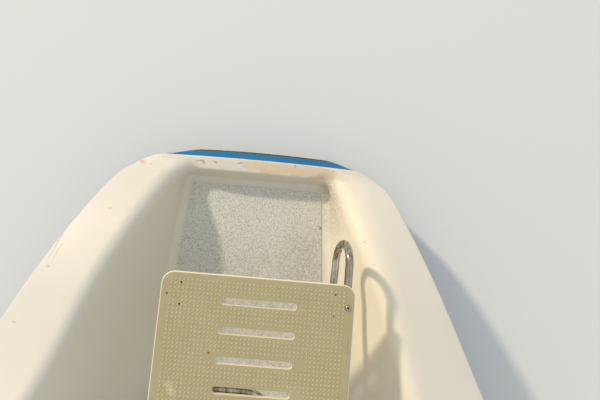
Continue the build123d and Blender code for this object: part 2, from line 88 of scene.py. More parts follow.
camera_data = bpy.data.cameras.new("well_camera")
camera_data.lens = LENS_MM
camera_data.sensor_width = SENSOR_MM
camera = bpy.data.objects.new("well_camera", camera_data)
camera.matrix_world = WELL_CAMERA
bpy.context.scene.collection.objects.link(camera)
bpy.context.scene.camera = camera
bpy.context.scene.view_settings.view_transform = "Standard"

bearing = math.radians(LAMP_BEARING)
elevation = math.radians(LAMP_ELEVATION)
travel = Vector((
    math.cos(bearing) * math.cos(elevation),
    -math.sin(bearing) * math.cos(elevation),
    -math.sin(elevation),
))
lamp_data = bpy.data.lights.new("warm_lamp", "AREA")
lamp_data.shape = "DISK"
lamp_data.size = LAMP_SIZE
lamp_data.energy = LAMP_WATTS
lamp_data.color = LAMP_COLOUR
lamp = bpy.data.objects.new("warm_lamp", lamp_data)
lamp.location = LAMP_AIM - travel * LAMP_DISTANCE
lamp.rotation_euler = travel.to_track_quat("-Z", "Y").to_euler()
bpy.context.scene.collection.objects.link(lamp)

sky = bpy.data.worlds.new("pale_sky")
sky.use_nodes = True
sky.node_tree.nodes["Background"].inputs["Color"].default_value = SKY_COLOUR
sky.node_tree.nodes["Background"].inputs["Strength"].default_value = SKY_STRENGTH
bpy.context.scene.world = sky


def new_material(name):
    """A material's shader tree and its Principled shader, by the finish's name."""
    material = bpy.data.materials.new(name)
    material.use_nodes = True
    tree = material.node_tree
    return material, tree, tree.nodes["Principled BSDF"]


def place_node(tree, kind, inputs=None, **settings):
    """One shader or geometry node; an input is a value or another socket."""
    made = tree.nodes.new(kind)
    for key, value in settings.items():
        setattr(made, key, value)
    for key, value in (inputs or {}).items():
        if isinstance(value, bpy.types.NodeSocket):
            tree.links.new(value, made.inputs[key])
        else:
            made.inputs[key].default_value = value
    return made


floor_material, tree, shader = new_material("pale_floor")
shader.inputs["Base Color"].default_value = FLOOR_GREY
shader.inputs["Roughness"].default_value = FLOOR_ROUGHNESS
floor_data = bpy.data.meshes.new("studio_floor")
reach = FLOOR_SIZE / 2
floor_data.from_pydata(
    [(-reach, -reach, 0.0), (reach, -reach, 0.0), (reach, reach, 0.0), (-reach, reach, 0.0)],
    [], [(0, 1, 2, 3)],
)
floor_data.materials.append(floor_material)
studio_floor = bpy.data.objects.new("studio_floor", floor_data)
bpy.context.scene.collection.objects.link(studio_floor)

# Hull shell: laid up in a female mould in glass and resin, with a white
# gelcoat skin, a blue boot-top band above the waterline, a fringe of green
# slime where it floats, and dark bottom paint below.
HULL_WHITE = (0.745, 0.715, 0.63, 1.0)
HULL_WHITE_DULL = (0.69, 0.655, 0.57, 1.0)
RUN_BROWN = (0.55, 0.49, 0.38, 1.0)
BAND_BLUE = (0.001, 0.145, 0.37, 1.0)
BAND_BLUE_CHALKED = (0.006, 0.20, 0.42, 1.0)
SLIME_OLIVE = (0.10, 0.12, 0.045, 1.0)
BOTTOM_PAINT = (0.035, 0.05, 0.05, 1.0)
BOTTOM_FOULED = (0.055, 0.075, 0.06, 1.0)
BAND_TOP = 0.235
PAINT_TOP = 0.03
SLIME_TOP = 0.07
LINE_WIDTH = 0.001
SLIME_FADE = 0.012


def effect_group(name, takes, gives):
    """A shared shading effect: its tree, and its own input and output sockets."""
    group = bpy.data.node_groups.new(name, "ShaderNodeTree")
    for label, kind in takes:
        group.interface.new_socket(label, in_out="INPUT", socket_type=kind)
    for label, kind in gives:
        group.interface.new_socket(label, in_out="OUTPUT", socket_type=kind)
    entry = group.nodes.new("NodeGroupInput")
    end = group.nodes.new("NodeGroupOutput")
    return group, entry.outputs, end.inputs


def graded(tree, value, low, high, to_low=0.0, to_high=1.0):
    """A value spread from low..high onto to_low..to_high, and held there."""
    return place_node(tree, "ShaderNodeMapRange", {
        "Value": value, "From Min": low, "From Max": high,
        "To Min": to_low, "To Max": to_high}).outputs[0]


def blended(tree, share, first, second):
    """The first colour, turning into the second where share is 1."""
    return place_node(tree, "ShaderNodeMix", {
        "Factor": share, 6: first, 7: second}, data_type="RGBA").outputs[2]


def reckoned(tree, operation, first, second=0.0):
    """One sum on two values."""
    return place_node(tree, "ShaderNodeMath", {0: first, 1: second}, operation=operation).outputs[0]


def tinted(tree, colour, mask, strength, tint):
    """The colour, turned towards a tint by so much where the mask is 1."""
    return blended(tree, reckoned(tree, "MULTIPLY", mask, strength), colour, tint)


def relieved(tree, shader, height, strength, distance):
    """Fine relief: a height, in so many metres, bends the shader's normal."""
    bump = place_node(tree, "ShaderNodeBump", {
        "Height": height, "Strength": strength, "Distance": distance})
    tree.links.new(bump.outputs[0], shader.inputs["Normal"])


# Cloudy variation: where a hand-wiped or weathered surface is a little duller.
cloud_group, taken, given = effect_group(
    "cloudy_variation",
    (("Place", "NodeSocketVector"), ("Stretch", "NodeSocketVector"), ("Scale", "NodeSocketFloat")),
    (("Mask", "NodeSocketFloat"),),
)
stretched = place_node(cloud_group, "ShaderNodeVectorMath", {
    0: taken["Place"], 1: taken["Stretch"]}, operation="MULTIPLY").outputs[0]
noise = place_node(cloud_group, "ShaderNodeTexNoise", {
    "Vector": stretched, "Scale": taken["Scale"], "Detail": 5.0, "Roughness": 0.6}).outputs[0]
cloud_group.links.new(graded(cloud_group, noise, 0.32, 0.68), given["Mask"])

# Speckle: grit and fly spots, a share of the cells of a scattered pattern.
speckle_group, taken, given = effect_group(
    "speckle",
    (("Place", "NodeSocketVector"), ("Scale", "NodeSocketFloat"),
     ("Size", "NodeSocketFloat"), ("Share", "NodeSocketFloat")),
    (("Mask", "NodeSocketFloat"),),
)
cells = place_node(speckle_group, "ShaderNodeTexVoronoi", {
    "Vector": taken["Place"], "Scale": taken["Scale"]})
inner = reckoned(speckle_group, "MULTIPLY", taken["Size"], 0.5)
spot = graded(speckle_group, cells.outputs["Distance"], taken["Size"], inner)
chosen = reckoned(
    speckle_group, "LESS_THAN",
    place_node(speckle_group, "ShaderNodeSeparateColor", {0: cells.outputs["Color"]}).outputs[0],
    taken["Share"],
)
speckle_group.links.new(reckoned(speckle_group, "MULTIPLY", spot, chosen), given["Mask"])


def clouds(tree, place, scale, stretch=(1.0, 1.0, 1.0)):
    """Where the surface is cloudy; a larger scale gives smaller clouds."""
    return place_node(tree, "ShaderNodeGroup", {
        "Place": place, "Scale": scale, "Stretch": stretch}, node_tree=cloud_group).outputs[0]


def speckles(tree, place, scale, size, share):
    """Where specks lie: their size in cells, and the share of cells with one."""
    return place_node(tree, "ShaderNodeGroup", {
        "Place": place, "Scale": scale, "Size": size, "Share": share},
        node_tree=speckle_group).outputs[0]


def own_place(tree):
    """The surface's place in the object's own metres."""
    return place_node(tree, "ShaderNodeTexCoord").outputs["Object"]


def finish_nodes(material, *names):
    """Gives solids their finish through their own material slots."""
    for name in names:
        for slot in cad_nodes[name].material_slots:
            slot.material = material


hull_gelcoat, tree, shader = new_material("hull_gelcoat")
place = own_place(tree)
height = place_node(tree, "ShaderNodeSeparateXYZ", {0: place}).outputs["Z"]
dullness = clouds(tree, place, 6.0, (1.0, 1.0, 0.35))
streaks = clouds(tree, place, 26.0, (1.0, 1.0, 0.06))
fringe = clouds(tree, place, 18.0)
white = tinted(tree, HULL_WHITE, dullness, 0.6, HULL_WHITE_DULL)
white = tinted(tree, white, streaks, 0.22, RUN_BROWN)
blue = tinted(tree, BAND_BLUE, dullness, 0.7, BAND_BLUE_CHALKED)
in_band = graded(tree, height, BAND_TOP + LINE_WIDTH, BAND_TOP)
painted = blended(tree, in_band, white, blue)
climb = reckoned(tree, "MULTIPLY", fringe, SLIME_TOP - PAINT_TOP)
over_slime = reckoned(tree, "SUBTRACT", height, climb)
slime_edge = graded(tree, over_slime, PAINT_TOP + SLIME_FADE, PAINT_TOP)
painted = tinted(tree, painted, slime_edge, 0.85, SLIME_OLIVE)
below = graded(tree, height, PAINT_TOP + LINE_WIDTH, PAINT_TOP)
bottom = blended(tree, clouds(tree, place, 9.0), BOTTOM_PAINT, BOTTOM_FOULED)
tree.links.new(blended(tree, below, painted, bottom), shader.inputs["Base Color"])
gloss = graded(tree, dullness, 0.0, 1.0, 0.24, 0.38)
matt = reckoned(tree, "MAXIMUM", gloss, reckoned(tree, "MULTIPLY", in_band, 0.62))
tree.links.new(matt, shader.inputs["Roughness"])
shader.inputs["Specular IOR Level"].default_value = 0.05
clear = graded(tree, height, BAND_TOP, BAND_TOP + LINE_WIDTH, 0.0, 0.5)
tree.links.new(clear, shader.inputs["Coat Weight"])
shader.inputs["Coat Roughness"].default_value = 0.3
relieved(tree, shader, clouds(tree, place, 40.0), 0.05, 0.002)
finish_nodes(hull_gelcoat, "hull_shell")

# Joint bulkhead: glass cloth and resin over plywood, cut to the hull's
# section and bonded across its forward end; this face is left unpainted.
LAMINATE_PALE = (0.50, 0.50, 0.37, 1.0)
LAMINATE_DARK = (0.33, 0.34, 0.22, 1.0)
ROVING_PITCH = 0.012
WAVE_SCALE = 0.32 / ROVING_PITCH


def two_toned(tree, shader, mask, first, second):
    """Base colour that follows a mask from one tone to another."""
    tree.links.new(blended(tree, mask, first, second), shader.inputs["Base Color"])


def roughened(tree, shader, mask, first, second):
    """Roughness that follows a mask from one value to another."""
    tree.links.new(graded(tree, mask, 0.0, 1.0, first, second), shader.inputs["Roughness"])


def woven(tree, place, direction):
    """The rovings that run one way through the cloth."""
    return place_node(tree, "ShaderNodeTexWave", {
        "Vector": place, "Scale": WAVE_SCALE, "Distortion": 1.2, "Detail": 2.0},
        bands_direction=direction).outputs[1]


laminate, tree, shader = new_material("raw_laminate")
place = own_place(tree)
weave = reckoned(tree, "MULTIPLY", woven(tree, place, "X"), woven(tree, place, "Z"))
pooled = clouds(tree, place, 5.0)
shade = reckoned(tree, "MULTIPLY", reckoned(tree, "ADD", weave, pooled), 0.5)
two_toned(tree, shader, shade, LAMINATE_PALE, LAMINATE_DARK)
roughened(tree, shader, pooled, 0.55, 0.25)
relieved(tree, shader, weave, 0.35, 0.001)
finish_nodes(laminate, "joint_bulkhead")

# Deck moulding: coaming, well, steps and side decks in one glass and resin
# moulding with cream-white gelcoat, set down on the hull's edge in sealant.
# Its sill is chipped and scuffed where people and tenders come alongside.
GEL_WHITE = (0.72, 0.69, 0.605, 1.0)
GEL_WARM = (0.71, 0.655, 0.535, 1.0)
GEL_EXPOSED = (0.70, 0.575, 0.41, 1.0)
# Painted sunlight: the cream that lightens the port wall beside the seat.
GEL_PAINTED_SUNLIGHT = (0.87, 0.785, 0.60, 1.0)
CHIP_BROWN = (0.24, 0.16, 0.08, 1.0)
GRIME_GREY = (0.22, 0.22, 0.20, 1.0)
SCUFF_PINK = (0.72, 0.30, 0.26, 1.0)
SCRATCH_BROWN = (0.45, 0.33, 0.24, 1.0)
LENGTH_AFT = 2.0
# name, across, ahead of the aft edge, half width, half length, turn,
# ragged, grain, soft, strength, colour
DECK_MARKS = (
    # The first mark is painted light: a paler, warmer patch on the port wall beside the seat stands
    # in for sunlight falling there.
    ("painted_sunlit_wall", 0.366, 0.360, 0.072, 0.360, -15.5, 0.020, 12.0, 0.35, 0.85, GEL_PAINTED_SUNLIGHT),
    ("sill_tan", 0.00, 0.010, 0.290, 0.012, 0.0, 0.018, 45.0, 0.45, 0.40, GEL_EXPOSED),
    ("patch_edge", 0.112, 0.0205, 0.164, 0.0195, 2.0, 0.050, 26.0, 0.05, 0.22, SCRATCH_BROWN),
    ("sill_patch", 0.112, 0.020, 0.160, 0.018, 2.0, 0.050, 26.0, 0.05, 0.90, GEL_EXPOSED),
    ("sill_patch_end", 0.255, 0.030, 0.050, 0.010, 8.0, 0.012, 60.0, 0.5, 0.5, GEL_EXPOSED),
    ("chip_port", -0.198, 0.022, 0.016, 0.0065, -8.0, 0.020, 120.0, 0.20, 0.75, CHIP_BROWN),
    ("chip_port_heart", -0.202, 0.025, 0.014, 0.0062, -8.0, 0.020, 120.0, 0.2, 1.0, GEL_WHITE),
    ("chip_mid", -0.145, 0.018, 0.006, 0.0035, 20.0, 0.006, 200.0, 0.3, 0.55, CHIP_BROWN),
    ("chip_edge", -0.060, 0.014, 0.010, 0.0022, -15.0, 0.006, 200.0, 0.3, 0.55, CHIP_BROWN),
    ("chip_starboard", 0.127, 0.007, 0.004, 0.0028, 0.0, 0.004, 200.0, 0.3, 0.65, CHIP_BROWN),
    ("scuff_pink", -0.410, 0.026, 0.028, 0.0065, 30.0, 0.010, 90.0, 0.5, 0.70, SCUFF_PINK),
    ("speck_pit", -0.362, 0.043, 0.0035, 0.003, 0.0, 0.002, 200.0, 0.4, 0.5, GRIME_GREY),
    ("speck_far", -0.430, 0.211, 0.0040, 0.0030, 0.0, 0.002, 200.0, 0.4, 0.35, GRIME_GREY),
    ("speck_mid", -0.256, 0.307, 0.0030, 0.0025, 0.0, 0.002, 200.0, 0.4, 0.4, GRIME_GREY),
    ("speck_near", -0.628, 0.560, 0.0060, 0.0025, 10.0, 0.004, 200.0, 0.4, 0.32, CHIP_BROWN),
    ("stain_foot", -0.253, 0.693, 0.0060, 0.0110, -25.0, 0.008, 120.0, 0.5, 0.35, CHIP_BROWN),
    ("scratch_long", -0.560, 0.335, 0.0012, 0.038, 16.0, 0.006, 60.0, 0.8, 0.75, SCRATCH_BROWN),
    ("scratch_short", -0.549, 0.350, 0.0010, 0.024, 16.0, 0.005, 60.0, 0.8, 0.65, SCRATCH_BROWN),
    ("scratch_foot", -0.566, 0.398, 0.0055, 0.0035, 0.0, 0.008, 120.0, 0.6, 0.45, SCRATCH_BROWN),
    ("rust_starboard", 0.359, 0.248, 0.0035, 0.0035, 0.0, 0.003, 200.0, 0.5, 0.4, SCRATCH_BROWN),
    ("rust_wall", 0.389, 0.314, 0.0030, 0.0030, 0.0, 0.003, 200.0, 0.5, 0.3, SCRATCH_BROWN),
)
# name, across, ahead of the aft edge, half width, half length, turn, strength
GRIME_AREAS = (
    ("corner_smudge", 0.236, 0.062, 0.018, 0.018, 0.0, 0.26),
    ("foot_grit", 0.262, 0.135, 0.020, 0.085, -8.0, 0.46),
    ("foot_grit_wide", 0.285, 0.130, 0.036, 0.070, -8.0, 0.15),
)
GRIME_RAGGED = 0.03
GRIME_GRAIN = 40.0
GRIME_SOFT = 0.6

mark_group, taken, given = effect_group(
    "worn_mark",
    (("Place", "NodeSocketVector"), ("Centre", "NodeSocketVector"), ("Reach", "NodeSocketVector"),
     ("Turn", "NodeSocketFloat"), ("Ragged", "NodeSocketFloat"), ("Grain", "NodeSocketFloat"),
     ("Soft", "NodeSocketFloat")),
    (("Mask", "NodeSocketFloat"),),
)
noise = place_node(mark_group, "ShaderNodeTexNoise", {
    "Vector": taken["Place"], "Scale": taken["Grain"], "Detail": 4.0, "Roughness": 0.65}).outputs[1]
wander = place_node(mark_group, "ShaderNodeVectorMath", {
    0: noise, 1: (0.5, 0.5, 0.5)}, operation="SUBTRACT").outputs[0]
wander = place_node(mark_group, "ShaderNodeVectorMath", {
    0: wander, "Scale": taken["Ragged"]}, operation="SCALE").outputs[0]
moved = place_node(mark_group, "ShaderNodeVectorMath", {
    0: taken["Place"], 1: wander}, operation="ADD").outputs[0]
turned = place_node(mark_group, "ShaderNodeVectorRotate", {
    "Vector": moved, "Center": taken["Centre"], "Angle": taken["Turn"]},
    rotation_type="Z_AXIS").outputs[0]
away = place_node(mark_group, "ShaderNodeVectorMath", {
    0: turned, 1: taken["Centre"]}, operation="SUBTRACT").outputs[0]
shares = place_node(mark_group, "ShaderNodeVectorMath", {
    0: away, 1: taken["Reach"]}, operation="DIVIDE").outputs[0]
squared = place_node(mark_group, "ShaderNodeVectorMath", {
    0: shares, 1: shares}, operation="MULTIPLY").outputs[0]
fourth = place_node(mark_group, "ShaderNodeVectorMath", {
    0: squared, 1: squared}, operation="MULTIPLY").outputs[0]
total = place_node(mark_group, "ShaderNodeVectorMath", {
    0: fourth, 1: (1.0, 1.0, 0.0)}, operation="DOT_PRODUCT").outputs["Value"]
distance = reckoned(mark_group, "POWER", total, 0.25)
mark_group.links.new(
    graded(
        mark_group, distance,
        reckoned(mark_group, "ADD", 1.0, taken["Soft"]),
        reckoned(mark_group, "SUBTRACT", 1.0, taken["Soft"]),
    ),
    given["Mask"],
)


def marked(tree, place, across, ahead, half_width, half_length, turn, ragged, grain, soft):
    """Where one worn mark lies, seen from above."""
    return place_node(tree, "ShaderNodeGroup", {
        "Place": place, "Centre": (across, LENGTH_AFT - ahead, 0.0),
        "Reach": (half_width, half_length, 1.0), "Turn": math.radians(turn),
        "Ragged": ragged, "Grain": grain, "Soft": soft}, node_tree=mark_group).outputs[0]


deck_gelcoat, tree, shader = new_material("deck_gelcoat")
place = own_place(tree)
wiped = clouds(tree, place, 4.5)
blotched = clouds(tree, place, 38.0)
colour = tinted(tree, GEL_WHITE, wiped, 0.45, GEL_WARM)
colour = tinted(tree, colour, blotched, 0.10, GEL_WARM)
fly_spots = speckles(tree, place, 55.0, 0.09, 0.05)
colour = tinted(tree, colour, fly_spots, 0.4, SCRATCH_BROWN)
masks = {}
for name, *form, strength, tint in DECK_MARKS:
    masks[name] = marked(tree, place, *form)
    colour = tinted(tree, colour, masks[name], strength, tint)
grains = speckles(tree, place, 150.0, 0.45, 0.5)
grit = reckoned(tree, "MAXIMUM", grains, clouds(tree, place, 110.0))
for name, *form, strength in GRIME_AREAS:
    mask = marked(tree, place, *form, GRIME_RAGGED, GRIME_GRAIN, GRIME_SOFT)
    mask = reckoned(tree, "MULTIPLY", mask, grit)
    colour = tinted(tree, colour, mask, strength, GRIME_GREY)
tree.links.new(colour, shader.inputs["Base Color"])
wear = masks["sill_patch"]
sheen = graded(tree, wiped, 0.0, 1.0, 0.42, 0.52)
sheen = reckoned(tree, "ADD", sheen, reckoned(tree, "MULTIPLY", wear, 0.2))
tree.links.new(sheen, shader.inputs["Roughness"])
shader.inputs["Specular IOR Level"].default_value = 0.3
waves = reckoned(tree, "MULTIPLY", clouds(tree, place, 24.0), 0.25)
relieved(tree, shader, reckoned(tree, "SUBTRACT", waves, wear), 0.4, 0.0006)


MERGE_DISTANCE = 0.00002
CREASE_DEGREES = 30


def smooth_copy(name, node):
    """The node's own form with its triangles joined and its curves smooth."""
    source = cad_nodes[node]
    mesh = source.data.copy()
    work = bmesh.new()
    work.from_mesh(mesh)
    bmesh.ops.remove_doubles(work, verts=work.verts, dist=MERGE_DISTANCE)
    work.to_mesh(mesh)
    work.free()
    mesh.polygons.foreach_set("use_smooth", [True] * len(mesh.polygons))
    mesh.set_sharp_from_angle(angle=math.radians(CREASE_DEGREES))
    piece = bpy.data.objects.new(name, mesh)
    bpy.context.scene.collection.objects.link(piece)
    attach(piece, source["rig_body"])
    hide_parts(node)
    return piece


# The sill's inner edge is a flat top that falls a little forward and then turns
# down in a small round: the broad round of the solid is drawn out to that line.
RIM_RADIUS = 0.045
RIM_CENTRE_AHEAD = 0.0044
RIM_CENTRE_HEIGHT = 0.202
SILL_CROWN_RADIUS = 2.847
FALL = math.radians(11.0)
FALL_START = FALL / 3
WALL_LEAN = math.radians(81.7)
LEAN_SLACK = 0.02
SMALL_RADIUS = 0.010
SMALL_CENTRE_AHEAD = 0.0354
SMALL_CENTRE_HEIGHT = 0.2312
FLAT_AHEAD = 0.0064
FLAT_HEIGHT = 0.247
FULL_HALF = 0.175
FADED_HALF = 0.235
ON_ROUND = 0.0009


def tighten_sill(mesh):
    """Moves the points of the sill's broad round, and fades out to its two sides."""
    for vertex in mesh.vertices:
        across = abs(vertex.co.x)
        ahead = LENGTH_AFT - vertex.co.y
        share = min(max((FADED_HALF - across) / (FADED_HALF - FULL_HALF), 0.0), 1.0)
        share = share * share * (3.0 - 2.0 * share)
        drop = across * across / (2.0 * SILL_CROWN_RADIUS)
        forward = ahead - RIM_CENTRE_AHEAD
        up = vertex.co.z + drop - RIM_CENTRE_HEIGHT
        lean = math.atan2(forward, up)
        if share == 0.0 or abs(math.hypot(forward, up) - RIM_RADIUS) > ON_ROUND:
            continue
        if not FALL_START <= lean < WALL_LEAN + LEAN_SLACK:
            continue
        along = max(lean, FALL)
        new_ahead = SMALL_CENTRE_AHEAD + SMALL_RADIUS * math.sin(along)
        new_height = SMALL_CENTRE_HEIGHT + SMALL_RADIUS * math.cos(along)
        if lean < FALL:
            part = lean / FALL
            new_ahead = FLAT_AHEAD + part * (new_ahead - FLAT_AHEAD)
            new_height = FLAT_HEIGHT + part * (new_height - FLAT_HEIGHT)
        vertex.co.y -= share * (new_ahead - ahead)
        vertex.co.z += share * (new_height - drop - vertex.co.z)


deck = smooth_copy("deck_skin", "deck_moulding")
tighten_sill(deck.data)
deck.data.materials.clear()
deck.data.materials.append(deck_gelcoat)

# Non-skid panels: fine grit in grey-beige gelcoat, raised a few millimetres
# on the well floor, the two steps and the deck, and moulded in with them.
GRIT_PALE = (0.73, 0.71, 0.63, 1.0)
GRIT_GREY = (0.50, 0.495, 0.45, 1.0)
GRIT_DARK = (0.23, 0.225, 0.19, 1.0)
GRIT_WHITE = (0.84, 0.82, 0.75, 1.0)
GRAIN_PER_METRE = 320.0
# name, across, ahead of the aft edge, half width, half length, turn,
# ragged, grain, soft, strength
TREAD_DIRT = (
    ("worn_middle", -0.02, 0.43, 0.16, 0.13, 0.0, 0.05, 12.0, 0.7, 0.28),
    ("worn_port", 0.20, 0.33, 0.07, 0.10, 0.0, 0.05, 12.0, 0.7, 0.40),
)
# Fine dark marks: a thin dark line drawn along the panel's port edge, and one dark dot.
FINE_DARK_MARKS = (
    ("edge_line", 0.2595, 0.450, 0.0022, 0.370, 4.7, 0.0005, 40.0, 0.4, 0.75),
    ("grit_dot", 0.2368, 0.207, 0.0042, 0.0042, 0.0, 0.0005, 40.0, 0.4, 1.0),
)

nonskid, tree, shader = new_material("moulded_nonskid")
place = own_place(tree)
grain = place_node(tree, "ShaderNodeTexNoise", {
    "Vector": place, "Scale": GRAIN_PER_METRE, "Detail": 3.0, "Roughness": 0.7}).outputs[0]
grain = graded(tree, grain, 0.42, 0.60)
colour = blended(tree, grain, GRIT_PALE, GRIT_GREY)
dark_grit = speckles(tree, place, 230.0, 0.50, 0.34)
colour = tinted(tree, colour, dark_grit, 0.70, GRIT_DARK)
pale_grit = speckles(tree, place, 245.0, 0.50, 0.30)
colour = tinted(tree, colour, pale_grit, 0.85, GRIT_WHITE)
coarse_grains = speckles(tree, place, 120.0, 0.5, 0.35)
coarse_dirt = reckoned(tree, "MAXIMUM", coarse_grains, clouds(tree, place, 95.0))
for name, *form, strength in TREAD_DIRT:
    mask = reckoned(tree, "MULTIPLY", marked(tree, place, *form), coarse_dirt)
    colour = tinted(tree, colour, mask, strength, GRIT_DARK)
for name, *form, strength in FINE_DARK_MARKS:
    colour = tinted(tree, colour, marked(tree, place, *form), strength, GRIT_DARK)
tree.links.new(colour, shader.inputs["Base Color"])
shader.inputs["Roughness"].default_value = 0.85
relieved(tree, shader, grain, 0.5, 0.0008)
finish_nodes(
    nonskid, "nonskid_well_floor", "nonskid_lower_step", "nonskid_upper_step", "nonskid_deck")

# Seat tubes and flanges: 22 mm polished stainless tube bent to a loop, a rail
# and a brace, each welded to a round flange that is screwed to the riser.
STEEL = (0.72, 0.67, 0.56, 1.0)
# Near-black of the painted reflection streaks on the polished steel.
STEEL_DARK_REFLECTION = (0.055, 0.045, 0.035, 1.0)
TEA_STAIN = (0.36, 0.22, 0.10, 1.0)

stainless, tree, shader = new_material("polished_stainless")
place = own_place(tree)
drawn_lines_and_reflections = clouds(tree, place, 140.0, (1.0, 0.04, 1.0))
dulled = clouds(tree, place, 14.0)
stained = reckoned(tree, "MULTIPLY", clouds(tree, place, 48.0), clouds(tree, place, 11.0))
# Painted reflection: the near-black streaks along the steel stand in for dark surroundings mirrored
# in the polish; the same streaks give the fine drawn relief.
colour = tinted(tree, STEEL, drawn_lines_and_reflections, 0.85, STEEL_DARK_REFLECTION)
colour = tinted(tree, colour, stained, 0.60, TEA_STAIN)
tree.links.new(colour, shader.inputs["Base Color"])
shader.inputs["Metallic"].default_value = 1.0
roughened(tree, shader, dulled, 0.07, 0.20)
relieved(tree, shader, drawn_lines_and_reflections, 0.08, 0.0004)
FLANGES = (
    "seat_flange_loop_upper", "seat_flange_loop_lower", "seat_flange_rail", "seat_flange_brace")
finish_nodes(stainless, "seat_loop_port", "seat_rail_stbd", "seat_brace", *FLANGES)

# Weld beads and bedding: a bead of weld closes each tube onto its flange, and
# white sealant squeezes out in a thin ring where the flange meets the riser.
TUBE_RADIUS = 0.011
WELD_RADIUS = 0.0018
WELD_RIPPLE = 0.0003
BEDDING_RADIUS = 0.0014
RING_STEPS = 40
BEAD_STEPS = 8
BEND_DEGREES = 40
WELD_PALE = (0.50, 0.47, 0.42, 1.0)
WELD_BURNT = (0.27, 0.21, 0.15, 1.0)
SEALANT_WHITE = (0.70, 0.68, 0.62, 1.0)
SEALANT_SOILED = (0.46, 0.43, 0.36, 1.0)


def ring_bead(work, centre, radius, thick, wobble):
    """A round bead about the Y axis; wobble is the height of its ripples."""
    rows = []
    for step in range(RING_STEPS):
        turn = 2 * math.pi * step / RING_STEPS
        swell = thick + wobble * (step % 2)
        row = []
        for side in range(BEAD_STEPS):
            roll = 2 * math.pi * side / BEAD_STEPS
            out = radius + swell * math.cos(roll)
            row.append(work.verts.new((
                centre.x + out * math.cos(turn),
                centre.y + swell * math.sin(roll),
                centre.z + out * math.sin(turn),
            )))
        rows.append(row)
    for step in range(RING_STEPS):
        here, there = rows[step], rows[(step + 1) % RING_STEPS]
        for side in range(BEAD_STEPS):
            after = (side + 1) % BEAD_STEPS
            work.faces.new((here[side], here[after], there[after], there[side]))


def finished_piece(name, work, material, body):
    """A piece from a bmesh, smooth, faces outward, riding on its body."""
    bmesh.ops.recalc_face_normals(work, faces=work.faces)
    mesh = bpy.data.meshes.new(name)
    work.to_mesh(mesh)
    work.free()
    mesh.polygons.foreach_set("use_smooth", [True] * len(mesh.polygons))
    mesh.set_sharp_from_angle(angle=math.radians(BEND_DEGREES))
    mesh.materials.append(material)
    piece = bpy.data.objects.new(name, mesh)
    bpy.context.scene.collection.objects.link(piece)
    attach(piece, body)
    return piece


def flange_centre(node, face):
    """Middle of a flange, at its riser face (0) or its tube face (1)."""
    low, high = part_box(node)
    return Vector(((low[0] + high[0]) / 2, (low[1], high[1])[face], (low[2] + high[2]) / 2))


flange_low, flange_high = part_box(FLANGES[0])
flange_radius = (flange_high[0] - flange_low[0]) / 2

weld_metal, tree, shader = new_material("weld_metal")
place = own_place(tree)
heat = clouds(tree, place, 220.0)
two_toned(tree, shader, heat, WELD_PALE, WELD_BURNT)
roughened(tree, shader, heat, 0.3, 0.5)
shader.inputs["Metallic"].default_value = 1.0
work = bmesh.new()
for flange in FLANGES:
    ring_bead(work, flange_centre(flange, 1), TUBE_RADIUS, WELD_RADIUS, WELD_RIPPLE)
finished_piece("flange_welds", work, weld_metal, "stern")

sealant, tree, shader = new_material("white_sealant")
place = own_place(tree)
soiled = clouds(tree, place, 90.0)
two_toned(tree, shader, soiled, SEALANT_WHITE, SEALANT_SOILED)
roughened(tree, shader, soiled, 0.45, 0.65)
work = bmesh.new()
for flange in FLANGES:
    ring_bead(work, flange_centre(flange, 0), flange_radius, BEDDING_RADIUS, 0.0)
finished_piece("flange_bedding", work, sealant, "stern")

# Flange screws: four stainless pan heads on a ring outside the weld hold each
# flange to the riser.
SCREWS_PER_FLANGE = 4
BOLT_CIRCLE = 0.0195
HEAD_DIAMETER = 0.0085
HEAD_HEIGHT = 0.0020


def geometry_tree(name, takes):
    """A Geometry Nodes tree: itself, its input and output sockets, and each input's id."""
    group = bpy.data.node_groups.new(name, "GeometryNodeTree")
    group.interface.new_socket("Geometry", in_out="INPUT", socket_type="NodeSocketGeometry")
    identifiers = {}
    for label, kind in takes:
        made = group.interface.new_socket(label, in_out="INPUT", socket_type=kind)
        identifiers[label] = made.identifier
    group.interface.new_socket("Geometry", in_out="OUTPUT", socket_type="NodeSocketGeometry")
    entry = group.nodes.new("NodeGroupInput")
    end = group.nodes.new("NodeGroupOutput")
    return group, entry.outputs, end.inputs[0], identifiers


def grown_piece(name, points, group, identifiers, values, material, body):
    """Runs a tree on a few points and keeps the result as a plain, smooth mesh."""
    seed_mesh = bpy.data.meshes.new(name + "_points")
    seed_mesh.from_pydata([tuple(point) for point in points], [], [])
    seed_mesh.materials.append(material)
    host = bpy.data.objects.new(name + "_points", seed_mesh)
    bpy.context.scene.collection.objects.link(host)
    modifier = host.modifiers.new(name, "NODES")
    modifier.node_group = group
    for label, value in values.items():
        modifier[identifiers[label]] = value
    shown = bpy.context.evaluated_depsgraph_get()
    mesh = bpy.data.meshes.new_from_object(host.evaluated_get(shown))
    mesh.name = name
    host.modifiers.remove(modifier)
    bpy.data.objects.remove(host)
    mesh.materials.clear()
    mesh.materials.append(material)
    mesh.polygons.foreach_set("use_smooth", [True] * len(mesh.polygons))
    mesh.polygons.foreach_set("material_index", [0] * len(mesh.polygons))
    piece = bpy.data.objects.new(name, mesh)
    bpy.context.scene.collection.objects.link(piece)
    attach(piece, body)
    return piece


